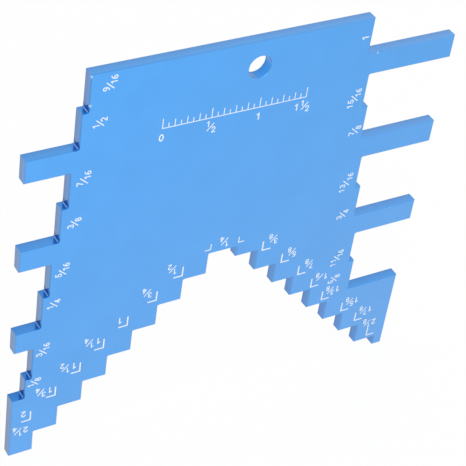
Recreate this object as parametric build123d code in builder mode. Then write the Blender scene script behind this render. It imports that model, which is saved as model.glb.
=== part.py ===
from build123d import *
import os

# Table saw height gauge. One flat aluminium plate stands on two feet over the saw blade.
# The two stairs of its arch step down from the apex to the feet in quarters of an inch, half
# a step apart, so that together they read eighths. The rungs down both sides, between the
# tabs, are cut one sixteenth deeper each, and read low cuts with the plate on its side.
# A white mark sits by each inside corner of the stairs, filled into a shallow groove.
#
# X runs along the width and Y through the thickness, with the marked face towards -Y.
# Z is up. The origin is on the table, under the middle of the plate.

# Plate, in millimetres
plate_thickness = 3.0 * MM
edge_break = 0.25 * MM
inside_corner_radius = 0.3 * MM

# Arch over the blade
stair_step = 0.25 * IN
left_step_count = 8
right_step_count = 8
apex_width = 0.3125 * IN
lowest_right_tread = 0.265 * IN
left_foot_width = 0.25 * IN
right_foot_width = 0.11 * IN

# Rungs and tabs down the sides
left_shoulder_height = 0.76 * IN
left_first_rung_height = 0.24 * IN
right_first_rung_height = 0.39 * IN
rung_height = 0.375 * IN
top_rung_height = 0.385 * IN
tab_height = 0.25 * IN
left_first_depth = 0.125 * IN
right_first_depth = 0.625 * IN
depth_step = 0.0625 * IN

# Hanging hole
hole_diameter = 0.234375 * IN
hole_from_left_tips = 2.25 * IN
hole_from_top = 0.285 * IN
hole_edge_break = 0.1 * MM

# Marks by the inside corners of the arch
mark_width = 2.65 * MM
mark_height = 3.1 * MM
mark_stroke = 0.4 * MM
apex_mark_width = 1.8 * MM
apex_mark_height = 1.9 * MM
apex_mark_stroke = 0.3 * MM
groove_depth = 0.15 * MM
fill_gap = 0.02 * MM
fill_stand = 0.02 * MM
apex_eighths = 2

# Where each mark's own corner lies from its inside corner, as shares of a stair step:
# how far back towards the foot of its stair, and how far up. From the table to the apex
# on the left, and from the apex to the table on the right.
left_mark_shares = [
    (0.14, 0.72),
    (0.14, 0.69),
    (0.15, 0.62),
    (0.21, 0.53),
    (0.26, 0.38),
    (0.09, 0.29),
    (0.06, 0.22),
    (-0.06, 0.20),
]
right_mark_shares = [
    (0.01, 0.20),
    (0.19, -0.07),
    (0.22, -0.01),
    (0.17, 0.05),
    (-0.04, 0.12),
    (-0.34, 0.20),
    (-0.16, 0.18),
    (-0.30, 0.34),
    (-0.50, 0.19),
]

# Rungs of each notch, from the lowest notch up. A tab stands between two notches.
left_notches = [
    [left_first_rung_height, rung_height],
    [rung_height, rung_height],
    [rung_height, rung_height],
    [rung_height, top_rung_height],
]
right_notches = [
    [right_first_rung_height, rung_height],
    [rung_height, rung_height],
    [rung_height, rung_height],
    [top_rung_height],
]

# Sizes that follow. The rungs and tabs of both sides end at the same top edge.
left_tabs_height = (len(left_notches) - 1) * tab_height
left_rungs_height = sum(sum(rungs) for rungs in left_notches)
plate_height = left_shoulder_height + left_rungs_height + left_tabs_height
right_tabs_height = (len(right_notches) - 1) * tab_height
right_rungs_height = sum(sum(rungs) for rungs in right_notches)
right_shoulder_height = plate_height - right_rungs_height - right_tabs_height
left_stair_width = (left_step_count - 1) * stair_step
right_treads = (right_step_count - 1) * [stair_step] + [lowest_right_tread]
right_stair_width = sum(right_treads)
feet_width = left_foot_width + right_foot_width
plate_width = feet_width + left_stair_width + apex_width + right_stair_width
left_tip_x = -plate_width / 2
right_tip_x = plate_width / 2
apex_height = left_step_count * stair_step
half_step = stair_step / 2
apex_right_x = right_tip_x - right_foot_width - right_stair_width
front_plane = Plane.XZ.offset(plate_thickness / 2)
groove_floor = Plane.XZ.offset(plate_thickness / 2 - groove_depth)


def side_points(notches, first_depth, shoulder_height):
    # One side, from the table to the top, as pairs of depth in from the tab tips and height
    points = [(0, 0), (0, shoulder_height)]
    depth = first_depth
    height = shoulder_height
    for number, rungs in enumerate(notches):
        if number > 0:
            points.append((0, height))
            height += tab_height
            points.append((0, height))
        for rung in rungs:
            points.append((depth, height))
            height += rung
            points.append((depth, height))
            depth += depth_step
    return points


def left_inside_corners():
    # Inside corners of the left stair, from the table up to the apex
    corners = []
    x = left_tip_x + left_foot_width
    height = stair_step
    for step in range(left_step_count):
        corners.append((x, height))
        x += stair_step
        height += stair_step
    return corners


def right_inside_corners():
    # Inside corners of the right stair, from the apex down to the table. Its steps lie
    # half a step lower than those of the left stair, so that the two read between each other.
    corners = [(apex_right_x, apex_height)]
    x = apex_right_x
    height = apex_height - half_step
    for tread in right_treads:
        x += tread
        corners.append((x, height))
        height -= stair_step
    return corners


def arch_points():
    # The arch, from the right foot over the apex to the left foot
    points = []
    height = 0
    for x, corner_height in reversed(right_inside_corners()):
        points.append((x, height))
        points.append((x, corner_height))
        height = corner_height
    for x, corner_height in reversed(left_inside_corners()):
        points.append((x, corner_height))
        points.append((x, corner_height - stair_step))
    return points


def plate_points():
    # The whole outline, up the left side, down the right side and back through the arch
    left_side = side_points(left_notches, left_first_depth, left_shoulder_height)
    right_side = side_points(right_notches, right_first_depth, right_shoulder_height)
    points = [(left_tip_x + depth, height) for depth, height in left_side]
    points += [(right_tip_x - depth, height) for depth, height in reversed(right_side)]
    return points + arch_points()


def draw_mark(corner, side, size):
    # An angle whose arms leave its corner upwards and towards the side, which is -1 for the
    # left and 1 for the right
    x, height = corner
    width, rise, stroke = size
    Polygon(
        (x, height),
        (x, height + rise),
        (x + side * stroke, height + rise),
        (x + side * stroke, height + stroke),
        (x + side * width, height + stroke),
        (x + side * width, height),
        align=None,
    )


def place_marks():
    # Name, corner, side and size of every mark. A mark is named for its side and for its
    # reading in eighths of an inch, which is one step at the apex and rises to the feet.
    full_size = (mark_width, mark_height, mark_stroke)
    apex_size = (apex_mark_width, apex_mark_height, apex_mark_stroke)
    stairs = [
        ("left", -1, left_inside_corners(), left_mark_shares),
        ("right", 1, right_inside_corners(), right_mark_shares),
    ]
    marks = []
    for side_name, side, corners, shares in stairs:
        for (x, height), (back_share, up_share) in zip(corners, shares):
            half_steps_down = round((apex_height - height) / half_step)
            eighths = apex_eighths + half_steps_down
            name = f"{side_name}_mark_{eighths:02d}_eighths"
            corner = (x + side * back_share * stair_step, height + up_share * stair_step)
            size = full_size if half_steps_down > 0 else apex_size
            marks.append((name, corner, side, size))
    return marks


os.makedirs("parts", exist_ok=True)
mark_list = place_marks()

# Plate with its stepped outline, hanging hole, broken edges and grooves for the marks
with BuildPart() as gauge_plate:
    with BuildSketch(Plane.XZ):
        with BuildLine():
            Polyline(plate_points(), close=True)
        make_face()
    extrude(amount=plate_thickness / 2, both=True)

    corner_edges = gauge_plate.edges().filter_by(Axis.Y)
    fillet(corner_edges.filter_by(lambda edge: edge.is_interior), radius=inside_corner_radius)
    broad_faces = gauge_plate.faces().filter_by(Axis.Y)
    chamfer(broad_faces.edges(), length=edge_break)

    with BuildSketch(front_plane):
        with Locations((left_tip_x + hole_from_left_tips, plate_height - hole_from_top)):
            Circle(hole_diameter / 2)
    extrude(amount=-plate_thickness, mode=Mode.SUBTRACT)
    hole_rims = gauge_plate.edges().filter_by(GeomType.CIRCLE).sort_by(SortBy.RADIUS)[-2:]
    chamfer(hole_rims, length=hole_edge_break)

    with BuildSketch(front_plane):
        for name, corner, side, size in mark_list:
            draw_mark(corner, side, size)
    extrude(amount=-groove_depth, mode=Mode.SUBTRACT)
gauge_plate.part.label = "gauge_plate"
export_step(gauge_plate.part, "parts/gauge_plate.step")
print("gauge_plate", round(gauge_plate.part.volume), "mm3")

# White fill of each mark, seated on the floor of its groove
for name, corner, side, size in mark_list:
    with BuildPart() as mark_fill:
        with BuildSketch(groove_floor):
            draw_mark(corner, side, size)
            offset(amount=-fill_gap, kind=Kind.INTERSECTION)
        extrude(amount=groove_depth + fill_stand)
    mark_fill.part.label = name
    export_step(mark_fill.part, f"parts/{name}.step")
    print(name, "corner at", round(corner[0], 2), round(corner[1], 2))
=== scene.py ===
import math
import bpy
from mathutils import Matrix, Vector


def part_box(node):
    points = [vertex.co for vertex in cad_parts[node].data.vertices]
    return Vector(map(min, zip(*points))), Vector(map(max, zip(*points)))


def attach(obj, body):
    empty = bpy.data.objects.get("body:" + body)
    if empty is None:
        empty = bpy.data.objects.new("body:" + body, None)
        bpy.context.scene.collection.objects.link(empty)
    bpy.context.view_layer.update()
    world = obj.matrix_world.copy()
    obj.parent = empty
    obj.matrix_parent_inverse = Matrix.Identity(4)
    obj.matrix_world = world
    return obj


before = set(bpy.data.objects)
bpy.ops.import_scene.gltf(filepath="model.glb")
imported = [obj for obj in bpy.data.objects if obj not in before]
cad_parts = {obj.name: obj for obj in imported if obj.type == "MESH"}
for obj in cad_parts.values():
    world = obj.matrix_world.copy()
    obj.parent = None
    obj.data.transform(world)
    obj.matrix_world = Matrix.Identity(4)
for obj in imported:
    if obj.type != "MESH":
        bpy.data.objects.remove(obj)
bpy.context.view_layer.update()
print("plate and mark fills loaded")

mm = 0.001
inch = 0.0254
black = (0, 0, 0, 1)
white = (1, 1, 1, 1)

# where the plate lies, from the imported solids
plateLow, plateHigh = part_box("gauge_plate")
leftTips = plateLow.x
rightTips = plateHigh.x
frontFace = plateLow.y
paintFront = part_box("left_mark_16_eighths")[0].y
paintStand = frontFace - paintFront     # the paint stands this far proud of the face


# Node helpers

def addNode(tree, kind, inputs=None, **settings):
    # inputs go by name or number, and each is a plain value or another node's output
    node = tree.nodes.new(kind)
    for name, value in settings.items():
        setattr(node, name, value)
    for socket, value in (inputs or {}).items():
        if isinstance(value, bpy.types.NodeSocket):
            tree.links.new(value, node.inputs[socket])
        else:
            node.inputs[socket].default_value = value
    return node


def mixColours(tree, factor, low, high, blend="MIX"):
    # low where the factor is 0 and high where it is 1
    node = addNode(tree, "ShaderNodeMix", {0: factor, 6: low, 7: high}, data_type="RGBA", blend_type=blend)
    return node.outputs[2]


def darken(tree, tint, share):
    # the colour times a share from 0 to 1
    return mixColours(tree, share, black, tint)


def filterColour(tree, factor, body, glass):
    # the body as seen through coloured glass, in full where the factor is 1
    return mixColours(tree, factor, body, glass, "MULTIPLY")


def mapRange(tree, value, fromLow, fromHigh, toLow=0.0, toHigh=1.0, smooth=False):
    curve = "SMOOTHSTEP" if smooth else "LINEAR"
    node = addNode(tree, "ShaderNodeMapRange", {
        "Value": value, "From Min": fromLow, "From Max": fromHigh, "To Min": toLow, "To Max": toHigh},
        interpolation_type=curve)
    return node.outputs["Result"]


def combine(tree, operation, first, second=0.0):
    node = addNode(tree, "ShaderNodeMath", {0: first, 1: second}, operation=operation)
    return node.outputs[0]


def compareVectors(tree, operation, vector, fixed):
    # the distance or the dot product of a vector and a fixed one
    node = addNode(tree, "ShaderNodeVectorMath", {0: vector, 1: fixed}, operation=operation)
    return node.outputs["Value"]


def addBump(tree, height, distance, under=None):
    # relief up to this distance, on top of any that is given as under
    node = addNode(tree, "ShaderNodeBump", {"Height": height, "Strength": 1.0, "Distance": distance})
    if under:
        tree.links.new(under, node.inputs["Normal"])
    return node.outputs["Normal"]


def colour(red, green, blue):
    # an sRGB colour as it is read off a screen, turned into the linear one that a shader takes
    linear = []
    for level in (red, green, blue):
        share = level / 255
        linear.append(((share + 0.055) / 1.055) ** 2.4 if share > 0.04045 else share / 12.92)
    return (*linear, 1)


# Fine grain and slow cloudiness, for every finish here

grainNoise = {
    "fineDetail": 3.0,
    "fineRoughness": 0.6,
    "slowDetail": 2.0,
    "slowRoughness": 0.5,
}


def makeGrainGroup():
    v = grainNoise
    group = bpy.data.node_groups.new("fineGrain", "ShaderNodeTree")
    group.interface.new_socket("Vector", in_out="INPUT", socket_type="NodeSocketVector")
    for name in ("Grain Scale", "Cloud Scale"):
        group.interface.new_socket(name, in_out="INPUT", socket_type="NodeSocketFloat")
    for name in ("Grain", "Cloud"):
        group.interface.new_socket(name, in_out="OUTPUT", socket_type="NodeSocketFloat")
    given = group.nodes.new("NodeGroupInput")
    made = group.nodes.new("NodeGroupOutput")
    fine = addNode(group, "ShaderNodeTexNoise", {
        "Vector": given.outputs["Vector"], "Scale": given.outputs["Grain Scale"],
        "Detail": v["fineDetail"], "Roughness": v["fineRoughness"]})
    slow = addNode(group, "ShaderNodeTexNoise", {
        "Vector": given.outputs["Vector"], "Scale": given.outputs["Cloud Scale"],
        "Detail": v["slowDetail"], "Roughness": v["slowRoughness"]})
    group.links.new(fine.outputs["Fac"], made.inputs["Grain"])
    group.links.new(slow.outputs["Fac"], made.inputs["Cloud"])
    return group


grainGroup = makeGrainGroup()


def addGrain(tree, vector, grainSize, cloudSize):
    node = addNode(tree, "ShaderNodeGroup", {
        "Vector": vector, "Grain Scale": 1 / grainSize, "Cloud Scale": 1 / cloudSize}, node_tree=grainGroup)
    return node.outputs["Grain"], node.outputs["Cloud"]


def newMaterial(name):
    material = bpy.data.materials.new(name)
    material.use_nodes = True
    return material, material.node_tree, material.node_tree.nodes["Principled BSDF"]


# Blue anodised aluminium. The plate's dye, with painted light and shade, differs on its faces, walls and
# edges.

surfaceKinds = {
    "broadFacing": (0.90, 0.99),            # how squarely a broad face looks along the thickness
    "wallFacing": (0.10, 0.45),             # and a cut wall, where the broken edges lie between
    "levelFacing": (0.3, 0.8),              # how squarely a level wall looks up or down
    "roundFacing": (0.15, 0.3),             # 0 on a wall and 0.5 half way round an inside corner
    "archFrom": leftTips + 0.7 * inch,      # where the outer walls end and the arch's begin
    "archTo": leftTips + 1.1 * inch,
}


def readSurface(tree):
    # where a point of the plate lies, and a share from 0 to 1 for each kind of surface
    v = surfaceKinds
    coords = addNode(tree, "ShaderNodeTexCoord")
    where = addNode(tree, "ShaderNodeSeparateXYZ", {"Vector": coords.outputs["Object"]})
    facing = addNode(tree, "ShaderNodeSeparateXYZ", {"Vector": coords.outputs["Normal"]})
    x, y, z = where.outputs["X"], where.outputs["Y"], where.outputs["Z"]
    across = combine(tree, "ABSOLUTE", facing.outputs["Y"])
    upwards = combine(tree, "ABSOLUTE", facing.outputs["Z"])
    sideways = combine(tree, "ABSOLUTE", facing.outputs["X"])
    slant = combine(tree, "MULTIPLY", sideways, upwards)
    return {
        "place": coords.outputs["Object"],
        "flatPlace": addNode(tree, "ShaderNodeCombineXYZ", {"X": x, "Z": z}).outputs["Vector"],
        "normal": coords.outputs["Normal"],
        "x": x,
        "z": z,
        "right": mapRange(tree, x, leftTips, rightTips),
        "up": mapRange(tree, z, plateLow.z, plateHigh.z),
        "back": mapRange(tree, y, frontFace, plateHigh.y),
        "broad": mapRange(tree, across, *v["broadFacing"], smooth=True),
        "wall": mapRange(tree, across, *v["wallFacing"], 1.0, 0.0, smooth=True),
        "level": mapRange(tree, upwards, *v["levelFacing"], smooth=True),
        "round": mapRange(tree, slant, *v["roundFacing"], smooth=True),
        "inArch": mapRange(tree, x, v["archFrom"], v["archTo"], smooth=True),
    }


faceDye = {
    "topLeft": colour(91, 176, 254),        # the colour drifts slowly across the plate
    "topRight": colour(94, 168, 237),
    "leftFoot": colour(105, 174, 243),
    "rightFoot": colour(110, 172, 237),
    "cloudRange": (0.35, 0.65),             # most of the noise lies between these
    "cloudShare": 0.97,                     # how dark the faint clouds are
}


def dyeFaces(tree, at, cloud):
    v = faceDye
    top = mixColours(tree, at["right"], v["topLeft"], v["topRight"])
    foot = mixColours(tree, at["right"], v["leftFoot"], v["rightFoot"])
    dye = mixColours(tree, at["up"], foot, top)
    clouds = mapRange(tree, cloud, *v["cloudRange"], v["cloudShare"], 1.0)
    return darken(tree, dye, clouds)


wallDyeAndShade = {
    "levelTopLeft": colour(84, 162, 236),   # walls that look up or down, lighter than the upright ones: painted light
    "levelTopRight": colour(103, 168, 235),
    "levelLeftFoot": colour(42, 127, 215),
    "levelRightFoot": colour(74, 154, 232),
    "levelFrom": plateLow.z + 0.7 * inch,   # they lighten quickly above this height; painted shade keeps them darker below
    "levelPower": 0.45,
    "arch": colour(87, 149, 217),           # walls that look sideways, in the arch, darker than the level ones: painted shade
    "outer": colour(86, 144, 208),          # and down the outside, greyer still, a painted reflection
    "foot": colour(86, 129, 177),
    # painted shade darkens the inside corners of the left side, given in inches from tips and table
    "darkCorners": ((2 / 16, 0.76), (3 / 16, 1.0), (4 / 16, 1.625), (5 / 16, 2.0),
                    (6 / 16, 2.625), (7 / 16, 3.0), (8 / 16, 3.625), (9 / 16, 4.0)),
    "cornerReach": 1.8 * mm,
    "cornerCore": 0.8 * mm,
    "levelCornerShade": (0.68, 0.90, 1.0, 1),
    "uprightCornerShade": (0.13, 0.45, 0.70, 1),    # painted shade there, also on the broken edges
    "cornerRoundHighlight": colour(104, 160, 228),   # a painted highlight on the round in such a corner
}


def findShadedCorners(tree, at):
    # painted shade mask: 1 in the core of the nearest dark corner and 0 beyond its reach
    v = wallDyeAndShade
    nearest = v["cornerReach"]
    for depth, height in v["darkCorners"]:
        corner = (leftTips + depth * inch, 0, height * inch)
        away = compareVectors(tree, "DISTANCE", at["flatPlace"], corner)
        nearest = combine(tree, "MINIMUM", away, nearest)
    return mapRange(tree, nearest, v["cornerReach"], v["cornerCore"], smooth=True)


def dyeAndShadeLevelWalls(tree, at, inCornerShade):
    v = wallDyeAndShade
    # painted light and shade: lighter than the upright walls, darker near the foot and in the corners
    top = mixColours(tree, at["right"], v["levelTopLeft"], v["levelTopRight"])
    foot = mixColours(tree, at["right"], v["levelLeftFoot"], v["levelRightFoot"])
    rise = mapRange(tree, at["z"], v["levelFrom"], plateHigh.z)
    rise = combine(tree, "POWER", rise, v["levelPower"])
    dye = mixColours(tree, rise, foot, top)
    return filterColour(tree, inCornerShade, dye, v["levelCornerShade"])


def dyeAndShadeUprightWalls(tree, at, inCornerShade):
    v = wallDyeAndShade
    # painted reflection: greyer down the outside, and darker towards the foot
    outer = mixColours(tree, at["up"], v["foot"], v["outer"])
    dye = mixColours(tree, at["inArch"], outer, v["arch"])
    return filterColour(tree, inCornerShade, dye, v["uprightCornerShade"])


def paintRoundHighlights(tree, at, inCornerShade, walls):
    # a painted highlight on the round between the two walls of a dark corner
    roundHighlight = combine(tree, "MULTIPLY", at["round"], inCornerShade)
    return mixColours(tree, roundHighlight, walls, wallDyeAndShade["cornerRoundHighlight"])


holeWallLight = {
    "lit": colour(58, 154, 242),            # painted light on the hanging hole's wall, where it looks up and left
    "side": colour(80, 142, 210),
    "middle": (leftTips + 2.25 * inch, 0, plateHigh.z - 0.285 * inch),
    "reach": 5 * mm,
    "core": 4.5 * mm,
    "light": (-0.77, 0, 0.64),              # up and left
    "litFacing": (0.25, 0.8),
}


def paintHoleWallLight(tree, at, walls):
    # painted light and shade near the hanging hole: lit where the wall looks up and left
    v = holeWallLight
    away = compareVectors(tree, "DISTANCE", at["flatPlace"], v["middle"])
    nearHole = mapRange(tree, away, v["reach"], v["core"], smooth=True)
    towards = compareVectors(tree, "DOT_PRODUCT", at["normal"], v["light"])
    towards = mapRange(tree, towards, *v["litFacing"], smooth=True)
    return mixColours(tree, nearHole, walls, mixColours(tree, towards, v["side"], v["lit"]))


edgeDyeAndShade = {
    "outer": colour(92, 152, 216),          # the broken edges of upright walls, painted light and shade
    "arch": colour(102, 161, 222),
    "tips": colour(104, 162, 222),          # paler at the left tips, a painted highlight
    "tipReach": 1.5 * mm,
    "levelShare": 0.79,                     # painted shade: how dark a level wall's broken edge is against the wall
}


def dyeAndShadeEdges(tree, at, levelWalls, inCornerShade):
    # painted light and shade on the broken edges, and the painted corner shade over them
    v = edgeDyeAndShade
    atTips = mapRange(tree, at["x"], leftTips + v["tipReach"], leftTips, smooth=True)
    upright = mixColours(tree, atTips, v["outer"], v["tips"])
    upright = mixColours(tree, at["inArch"], upright, v["arch"])
    edges = mixColours(tree, at["level"], upright, darken(tree, levelWalls, v["levelShare"]))
    return filterColour(tree, inCornerShade, edges, wallDyeAndShade["uprightCornerShade"])


glints = {
    # painted glints in the front edges, in inches from tips and table, with the reach of each
    "places": ((0.56, 4.36, 0.6 * mm), (0.575, 4.065, 0.5 * mm), (3.54, 3.985, 0.35 * mm)),
    "coreShare": 0.4,
    "metal": colour(172, 208, 253),         # the light colour that the painted glints show
}


def addGlints(tree, at, body):
    v = glints
    glinting = 0.0
    for depth, height, reach in v["places"]:
        middle = (leftTips + depth * inch, frontFace, height * inch)
        away = compareVectors(tree, "DISTANCE", at["place"], middle)
        glint = mapRange(tree, away, reach, v["coreShare"] * reach, smooth=True)
        glinting = combine(tree, "MAXIMUM", glint, glinting)
    return mixColours(tree, glinting, body, v["metal"])


plateFinish = {
    "backGlass": (1.0, 0.77, 0.76, 1),      # walls and edges turn greyer towards the back
    "metallic": 0.88,
    "faceRoughness": (0.36, 0.44),
    "wallRoughness": (0.13, 0.23),
    "roughRange": (0.3, 0.7),
    "coat": 0.12,
    "coatRoughness": 0.22,
    "grainSize": 0.12 * mm,
    "cloudSize": 9 * mm,
    "grainHeight": 0.003 * mm,
    "lineSpacing": 0.30 * mm,               # cutter lines run through the thickness
    "lineLength": 50 * mm,
    "lineDetail": 3.0,
    "lineRoughness": 0.6,
    "lineHeight": 0.004 * mm,
    "lineRange": (0.35, 0.7),
    "lineShare": 0.93,                      # how dark the lines are
}


def addCutterLines(tree, at):
    v = plateFinish
    drawnOut = addNode(tree, "ShaderNodeMapping", {
        "Vector": at["place"],
        "Scale": (1 / v["lineSpacing"], 1 / v["lineLength"], 1 / v["lineSpacing"])})
    lines = addNode(tree, "ShaderNodeTexNoise", {
        "Vector": drawnOut.outputs["Vector"], "Scale": 1.0,
        "Detail": v["lineDetail"], "Roughness": v["lineRoughness"]})
    return lines.outputs["Fac"]


def addRoughness(tree, at, grain, lines, shader):
    v = plateFinish
    onFace = mapRange(tree, grain, *v["roughRange"], *v["faceRoughness"])
    onWall = mapRange(tree, lines, *v["roughRange"], *v["wallRoughness"])
    rough = addNode(tree, "ShaderNodeMix", {0: at["wall"], 2: onFace, 3: onWall}, data_type="FLOAT")
    tree.links.new(rough.outputs[0], shader.inputs["Roughness"])


def addRelief(tree, at, grain, lines, shader):
    # lines on the walls, and grain on every surface
    v = plateFinish
    onWall = combine(tree, "MULTIPLY", at["wall"], lines)
    wallBump = addBump(tree, onWall, v["lineHeight"])
    tree.links.new(addBump(tree, grain, v["grainHeight"], wallBump), shader.inputs["Normal"])


def makeAnodising():
    v = plateFinish
    material, tree, shader = newMaterial("blueAnodising")
    at = readSurface(tree)
    grain, cloud = addGrain(tree, at["place"], v["grainSize"], v["cloudSize"])
    lines = addCutterLines(tree, at)

    # painted shade in the left inside corners, painted highlights on their rounds, painted light and shade
    # on walls, hole and edges
    inCornerShade = findShadedCorners(tree, at)
    levelWalls = dyeAndShadeLevelWalls(tree, at, inCornerShade)
    uprightWalls = dyeAndShadeUprightWalls(tree, at, inCornerShade)
    walls = mixColours(tree, at["level"], uprightWalls, levelWalls)
    walls = paintRoundHighlights(tree, at, inCornerShade, walls)
    walls = paintHoleWallLight(tree, at, walls)
    walls = darken(tree, walls, mapRange(tree, lines, *v["lineRange"], 1.0, v["lineShare"]))
    body = mixColours(tree, at["wall"], dyeAndShadeEdges(tree, at, levelWalls, inCornerShade), walls)
    body = filterColour(tree, at["back"], body, v["backGlass"])
    body = mixColours(tree, at["broad"], body, dyeFaces(tree, at, cloud))
    # painted glints on the front edges
    tree.links.new(addGlints(tree, at, body), shader.inputs["Base Color"])

    addRoughness(tree, at, grain, lines, shader)
    addRelief(tree, at, grain, lines, shader)
    shader.inputs["Metallic"].default_value = v["metallic"]
    shader.inputs["Coat Weight"].default_value = v["coat"]
    shader.inputs["Coat Roughness"].default_value = v["coatRoughness"]
    return material


# White paint of the marks and numbers

paint = {
    "left": colour(238, 243, 250),
    "right": colour(225, 235, 247),
    "thin": (0.86, 0.91, 0.96, 1),          # where the blue shows through a little
    "thinRange": (0.45, 0.75),
    "roughness": (0.44, 0.58),
    "roughRange": (0.3, 0.7),
    "grainSize": 0.10 * mm,
    "cloudSize": 0.9 * mm,
    "grainHeight": 0.006 * mm,
}


def makePaint():
    v = paint
    material, tree, shader = newMaterial("whitePaint")
    place = addNode(tree, "ShaderNodeTexCoord")
    grain, cloud = addGrain(tree, place.outputs["Object"], v["grainSize"], v["cloudSize"])
    where = addNode(tree, "ShaderNodeSeparateXYZ", {"Vector": place.outputs["Object"]})
    right = mapRange(tree, where.outputs["X"], leftTips, rightTips)
    body = mixColours(tree, right, v["left"], v["right"])
    body = filterColour(tree, mapRange(tree, cloud, *v["thinRange"]), body, v["thin"])
    tree.links.new(body, shader.inputs["Base Color"])
    rough = mapRange(tree, grain, *v["roughRange"], *v["roughness"])
    tree.links.new(rough, shader.inputs["Roughness"])
    tree.links.new(addBump(tree, grain, v["grainHeight"]), shader.inputs["Normal"])
    return material


blueAnodising = makeAnodising()
whitePaint = makePaint()

for name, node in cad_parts.items():
    isPlate = name == "gauge_plate"
    node.data.materials.clear()
    node.data.materials.append(blueAnodising if isPlate else whitePaint)
print("plate and marks finished")


# Painted numbers. Every digit is a few strokes of one round cutter, on a body 1 high.

def bend(x, y, wide, high, start, end, steps=14):
    # part of an oval about (x, y), from one angle to another in degrees
    angles = [math.radians(start + (end - start) * i / steps) for i in range(steps + 1)]
    return [(x + wide * math.cos(a), y + high * math.sin(a)) for a in angles]


def ring(x, y, wide, high, steps=20):
    # a whole oval, from its top and round
    return bend(x, y, wide, high, 90, 450, steps)


digitStrokes = {
    "0": [ring(0.30, 0.50, 0.20, 0.41, 24)],
    "1": [[(0.13, 0.74), (0.33, 0.91)], [(0.33, 0.91), (0.33, 0.09)]],
    "2": [bend(0.29, 0.68, 0.20, 0.23, 170, -40), [(0.44, 0.53), (0.10, 0.09)],
          [(0.10, 0.09), (0.51, 0.09)]],
    "3": [bend(0.28, 0.70, 0.18, 0.21, 160, -90), bend(0.28, 0.29, 0.21, 0.20, 90, -160)],
    "4": [[(0.40, 0.09), (0.40, 0.91)], [(0.40, 0.91), (0.07, 0.31)], [(0.07, 0.31), (0.54, 0.31)]],
    "5": [[(0.47, 0.91), (0.16, 0.91)], [(0.16, 0.91), (0.12, 0.52)],
          bend(0.28, 0.32, 0.22, 0.23, 138, -160)],
    "6": [ring(0.30, 0.31, 0.20, 0.22), bend(0.40, 0.36, 0.30, 0.55, 180, 80)],
    "7": [[(0.09, 0.91), (0.51, 0.91)], [(0.51, 0.91), (0.22, 0.09)]],
    "8": [ring(0.30, 0.70, 0.17, 0.21), ring(0.30, 0.30, 0.20, 0.21)],
    "9": [ring(0.30, 0.69, 0.20, 0.22), bend(0.20, 0.64, 0.30, 0.55, 0, -100)],
}
digitWidths = {"1": 0.55}        # against the body's height
usualDigitWidth = 0.60

numbers = {
    "wholeHeight": 2.05 * mm,
    "wholeStroke": 0.34 * mm,
    "wholeLift": 0.12 * mm,      # from the slash's middle up to the whole number's
    "fractionHeight": 1.75 * mm,
    "fractionStroke": 0.285 * mm,
    "stretch": 1.13,             # how much wider than drawn every digit is
    "topGap": 0.35 * mm,         # between two digits above the slash
    "bottomGap": 0.12 * mm,      # and below it
    "slashWide": 1.6 * mm,
    "slashHigh": 1.8 * mm,
    "topInset": -0.13 * mm,      # from the slash's middle to the right edge of the number above it
    "longTopInset": -0.20 * mm,  # and where that number has two digits
    "topLift": 0.93 * mm,        # from the slash's middle up to the number's
    "bottomInset": 0.28 * mm,    # from the slash's middle to the left edge of the number below it
    "bottomDrop": 0.86 * mm,     # and down to its middle
}

strokeShape = {
    "endAngles": (8, 30, 55),    # degrees around the half round end of a stroke
    "facets": 2,                 # how finely a stroke's round is cut
}


def roundEnds(points, radius):
    # the stroke's points with their radii, and a half round drawn beyond each end
    path = [(Vector((*p, 0)), radius) for p in points]
    turns = [math.radians(a) for a in strokeShape["endAngles"]]
    caps = []
    for here, inner in ((path[0][0], path[1][0]), (path[-1][0], path[-2][0])):
        out = (here - inner).normalized()
        caps.append([(here + out * radius * math.cos(a), radius * math.sin(a)) for a in turns])
    return caps[0] + path + caps[1][::-1]


def makeStrokes(name, strokes, place, turn=0):
    # strokes: points on the paper and a width. place: on the front face, across and up.
    # turn: anticlockwise, in degrees.
    curve = bpy.data.curves.new(name, "CURVE")
    curve.dimensions = "3D"
    curve.bevel_depth = 1.0      # so a point's own radius is the stroke's
    curve.bevel_resolution = strokeShape["facets"]
    curve.use_fill_caps = True
    for points, width in strokes:
        path = roundEnds(points, width / 2)
        spline = curve.splines.new("POLY")
        spline.points.add(len(path) - 1)
        for point, (where, radius) in zip(spline.points, path):
            point.co = (*where, 1)
            point.radius = radius
    piece = bpy.data.objects.new(name, curve)
    bpy.context.scene.collection.objects.link(piece)
    bpy.ops.object.select_all(action="DESELECT")
    bpy.context.view_layer.objects.active = piece
    piece.select_set(True)
    bpy.ops.object.convert(target="MESH")
    piece = bpy.context.object

    # the round strokes are flattened to the paint's stand, then laid on the face
    tallest = max(v.co.z for v in piece.data.vertices)
    piece.scale.z = paintStand / tallest
    piece.rotation_euler = (math.radians(90), math.radians(-turn), 0)
    piece.location = (place[0], frontFace, place[1])
    bpy.ops.object.transform_apply(location=True, rotation=True, scale=True)
    bpy.ops.object.shade_smooth()
    piece.data.materials.append(whitePaint)
    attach(piece, "root")


def numberWidth(text, height, gap=0):
    shares = sum(digitWidths.get(digit, usualDigitWidth) for digit in text)
    return shares * height * numbers["stretch"] + (len(text) - 1) * gap


def numberStrokes(text, height, stroke, left, bottom, gap=0):
    wide = height * numbers["stretch"]
    strokes = []
    x = left
    for digit in text:
        for points in digitStrokes[digit]:
            strokes.append(([(x + px * wide, bottom + py * height) for px, py in points], stroke))
        x += digitWidths.get(digit, usualDigitWidth) * wide + gap
    return strokes


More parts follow.
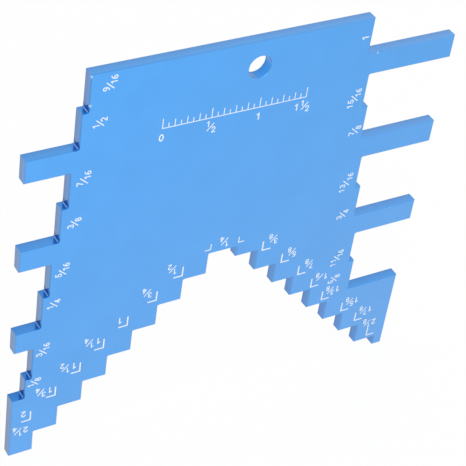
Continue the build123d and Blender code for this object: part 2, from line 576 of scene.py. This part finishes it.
def fractionStrokes(top, bottom, loose=0.0):
    # a fraction about the middle of its slash. loose: how much further off the lower number is
    v = numbers
    height, stroke = v["fractionHeight"], v["fractionStroke"]
    corner = (v["slashWide"] / 2, v["slashHigh"] / 2)
    strokes = [([(-corner[0], -corner[1]), corner], stroke)]
    if top:
        inset = v["topInset"] if len(top) == 1 else v["longTopInset"]
        left = inset - numberWidth(top, height, v["topGap"])
        strokes += numberStrokes(top, height, stroke, left, v["topLift"] - height / 2, v["topGap"])
    strokes += numberStrokes(bottom, height, stroke, v["bottomInset"] + loose,
                             -v["bottomDrop"] - height / 2, v["bottomGap"])
    return strokes


def readingStrokes(reading, wholeGap=0.0, loose=0.0, bareTop=False):
    # "1", "3/4" or "1 3/4", about the middle of the slash, or of the number if it has none
    v = numbers
    parts = reading.split(" ")
    strokes = []
    if "/" in parts[-1]:
        top, bottom = parts[-1].split("/")
        strokes += fractionStrokes("" if bareTop else top, bottom, loose)
    if "/" not in parts[0]:
        height = v["wholeHeight"]
        lift = v["wholeLift"] if len(parts) > 1 else 0
        left = -wholeGap - numberWidth(parts[0], height) / 2
        strokes += numberStrokes(parts[0], height, v["wholeStroke"], left, lift - height / 2)
    return strokes


def pieceName(prefix, reading):
    return prefix + "_" + reading.replace(" ", "_").replace("/", "_over_")


# Readings of the side rungs, turned to read upwards: how far in from the rung's wall and how
# high above the table, in millimetres
leftRungLabels = {
    "9/16": (4.8, 107.6), "1/2": (4.7, 98.1), "7/16": (3.5, 83.0), "3/8": (3.6, 71.3),
    "5/16": (3.1, 57.3), "1/4": (3.1, 47.8), "3/16": (2.7, 33.3), "1/8": (2.6, 23.6),
}
rightRungLabels = {
    "1": (1.9, 106.3), "15/16": (3.1, 89.1), "7/8": (2.5, 79.0), "13/16": (3.4, 62.7),
    "3/4": (4.0, 52.3), "11/16": (4.4, 37.4), "5/8": (5.5, 30.0),
}
looseLabels = {"13/16": 0.35}    # its lower number stands further off


def readingInches(reading):
    total = 0.0
    for part in reading.split(" "):
        top, _, bottom = part.partition("/")
        total += float(top) / float(bottom or 1)
    return total


for prefix, labels, tips, side in (("leftRung", leftRungLabels, leftTips, 1),
                                   ("rightRung", rightRungLabels, rightTips, -1)):
    for reading, (inFromWall, height) in labels.items():
        wallX = tips + side * readingInches(reading) * inch
        place = (wallX + side * inFromWall * mm, height * mm)
        strokes = readingStrokes(reading, loose=looseLabels.get(reading, 0) * mm)
        makeStrokes(pieceName(prefix, reading), strokes, place, turn=90)
print("rung readings painted")

# Readings of the arch, upside down as on the real plate: how far out towards the foot and how
# far up from the corner of the mark, and from the slash to the whole number, in millimetres
leftStairLabels = {
    "1/4": ("left_mark_02_eighths", -3.7, 1.6, 0), "1/2": ("left_mark_04_eighths", 3.1, 3.1, 0),
    "3/4": ("left_mark_06_eighths", 2.9, 3.4, 0), "1": ("left_mark_08_eighths", 2.3, 2.3, 0),
    "1 1/4": ("left_mark_10_eighths", 4.1, 3.1, 2.4), "1 1/2": ("left_mark_12_eighths", 4.2, 2.6, 2.4),
    "1 3/4": ("left_mark_14_eighths", 4.1, 2.5, 2.5), "2": ("left_mark_16_eighths", 2.1, 2.7, 0),
}
rightStairLabels = {
    "3/8": ("right_mark_03_eighths", 3.1, 3.1, 0), "5/8": ("right_mark_05_eighths", 3.1, 2.8, 0),
    "7/8": ("right_mark_07_eighths", 3.3, 3.0, 0), "1 1/8": ("right_mark_09_eighths", 2.7, 2.8, 1.8),
    "1 3/8": ("right_mark_11_eighths", 2.6, 2.7, 2.3), "1 5/8": ("right_mark_13_eighths", 2.6, 2.8, 2.2),
    "1 7/8": ("right_mark_15_eighths", 2.6, 3.1, 2.2), "2 1/8": ("right_mark_17_eighths", -0.5, 4.9, 2.2),
}
bareTops = ("1 1/8",)            # the real plate shows no number above this slash
footLabel = {"reading": "2 1/4", "fromTips": 2.1 * mm, "height": 8.1 * mm, "wholeGap": 2.1 * mm}

for prefix, labels, side in (("leftStair", leftStairLabels, -1), ("rightStair", rightStairLabels, 1)):
    for reading, (mark, out, up, wholeGap) in labels.items():
        low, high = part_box(mark)
        cornerX = high.x if side < 0 else low.x
        place = (cornerX + side * out * mm, low.z + up * mm)
        strokes = readingStrokes(reading, wholeGap * mm, bareTop=reading in bareTops)
        makeStrokes(pieceName(prefix, reading), strokes, place, turn=180)
makeStrokes(pieceName("leftFoot", footLabel["reading"]),
            readingStrokes(footLabel["reading"], footLabel["wholeGap"]),
            (leftTips + footLabel["fromTips"], footLabel["height"]), turn=180)
print("arch readings painted")

# A plain inch and a half of scale, below the hanging hole
scaleBar = {
    "left": leftTips + 1.31 * inch,
    "foot": 3.655 * inch,
    "spacing": inch / 16,
    "readings": ("0", "1/2", "1", "1 1/2"),
    "toReading": 8,              # spaces from one reading to the next
    "toMiddle": 2,               # and from one middle tick to the next
    "stroke": 0.24 * mm,
    "tall": 2.6 * mm,            # over the readings
    "middle": 1.9 * mm,
    "short": 1.2 * mm,
    "numbersDrop": 2.6 * mm,
    "wholeGap": 2.25 * mm,
}


def makeScaleBar():
    v = scaleBar
    spaces = (len(v["readings"]) - 1) * v["toReading"]
    strokes = [([(0, 0), (spaces * v["spacing"], 0)], v["stroke"])]
    for tick in range(spaces + 1):
        height = v["short"]
        if tick % v["toReading"] == 0:
            height = v["tall"]
        elif tick % v["toMiddle"] == 0:
            height = v["middle"]
        x = tick * v["spacing"]
        strokes.append(([(x, 0), (x, height)], v["stroke"]))
    makeStrokes("scaleTicks", strokes, (v["left"], v["foot"]))
    for number, reading in enumerate(v["readings"]):
        tick = number * v["toReading"]
        place = (v["left"] + tick * v["spacing"], v["foot"] - v["numbersDrop"])
        wholeGap = v["wholeGap"] if " " in reading else 0
        makeStrokes(pieceName("scale", reading), readingStrokes(reading, wholeGap), place)


makeScaleBar()
print("scale painted")

# Floor, light and camera

studio = {
    "floorSize": 6.0,
    "floorColour": colour(246, 246, 247),
    "floorRoughness": 0.9,
    "floorGloss": 0.1,
    "floorGlow": 0.95,           # share of plain white in what the camera sees of the floor
    "skyLight": 0.85,
    "background": 1.0,           # strength of the plain white behind the plate
    "keyPlace": (-0.35, -0.75, 0.85),
    "keySize": 0.7,
    "keyPower": 3.0,             # watts
    "fillPlace": (0.9, -0.5, 0.5),
    "fillSize": 0.9,
    "fillPower": 1.2,
    "aim": (0, 0, 0.055),        # the middle of the plate
}


def plainRays(tree):
    # 1 for what the camera, metal and glass see directly, and 0 for what lights the scene
    rays = addNode(tree, "ShaderNodeLightPath")
    seen = combine(tree, "MAXIMUM", rays.outputs["Is Camera Ray"], rays.outputs["Is Glossy Ray"])
    return combine(tree, "MAXIMUM", seen, rays.outputs["Is Transmission Ray"])


def makeFloor():
    v = studio
    bpy.ops.object.select_all(action="DESELECT")
    bpy.ops.mesh.primitive_plane_add(size=v["floorSize"], location=(0, 0, 0))
    floor = bpy.context.object
    floor.name = "floor"
    material, tree, shader = newMaterial("paleFloor")
    shader.inputs["Base Color"].default_value = v["floorColour"]
    shader.inputs["Roughness"].default_value = v["floorRoughness"]
    shader.inputs["Specular IOR Level"].default_value = v["floorGloss"]
    glow = addNode(tree, "ShaderNodeEmission", {"Color": white, "Strength": v["background"]})
    share = combine(tree, "MULTIPLY", plainRays(tree), v["floorGlow"])
    mixed = addNode(tree, "ShaderNodeMixShader", {0: share, 1: shader.outputs[0], 2: glow.outputs[0]})
    tree.links.new(mixed.outputs[0], tree.nodes["Material Output"].inputs["Surface"])
    floor.data.materials.append(material)


def makeWorld():
    v = studio
    world = bpy.data.worlds.new("studio")
    bpy.context.scene.world = world
    world.use_nodes = True
    tree = world.node_tree
    light = tree.nodes["Background"]
    light.inputs["Color"].default_value = white
    light.inputs["Strength"].default_value = v["skyLight"]
    plain = addNode(tree, "ShaderNodeBackground", {"Color": white, "Strength": v["background"]})
    mixed = addNode(tree, "ShaderNodeMixShader", {
        0: plainRays(tree), 1: light.outputs[0], 2: plain.outputs[0]})
    tree.links.new(mixed.outputs[0], tree.nodes["World Output"].inputs["Surface"])


def addSoftbox(name, place, size, power):
    bpy.ops.object.select_all(action="DESELECT")
    bpy.ops.object.light_add(type="AREA", location=place)
    lamp = bpy.context.object
    lamp.name = name
    lamp.data.shape = "SQUARE"
    lamp.data.size = size
    lamp.data.energy = power
    towards = Vector(studio["aim"]) - Vector(place)
    lamp.rotation_euler = towards.to_track_quat("-Z", "Y").to_euler()


makeFloor()
makeWorld()
addSoftbox("keyLight", studio["keyPlace"], studio["keySize"], studio["keyPower"])
addSoftbox("fillLight", studio["fillPlace"], studio["fillSize"], studio["fillPower"])

viewpoint = {
    "place": (-0.17975, -0.25735, 0.30474),
    "turn": (51.141, -7.129, -29.458),      # degrees
    "lens": 126.47,                         # millimetres, as the sensor's width is
    "sensor": 36.0,
    "nearest": 0.01,                        # nothing closer than this is drawn
}


def makeCamera():
    v = viewpoint
    bpy.ops.object.camera_add(location=v["place"], rotation=[math.radians(a) for a in v["turn"]])
    camera = bpy.context.object
    camera.name = "photoCamera"
    camera.data.lens = v["lens"]
    camera.data.sensor_width = v["sensor"]
    camera.data.clip_start = v["nearest"]
    bpy.context.scene.camera = camera


makeCamera()
bpy.context.scene.view_settings.view_transform = "Standard"
print("studio and camera ready")
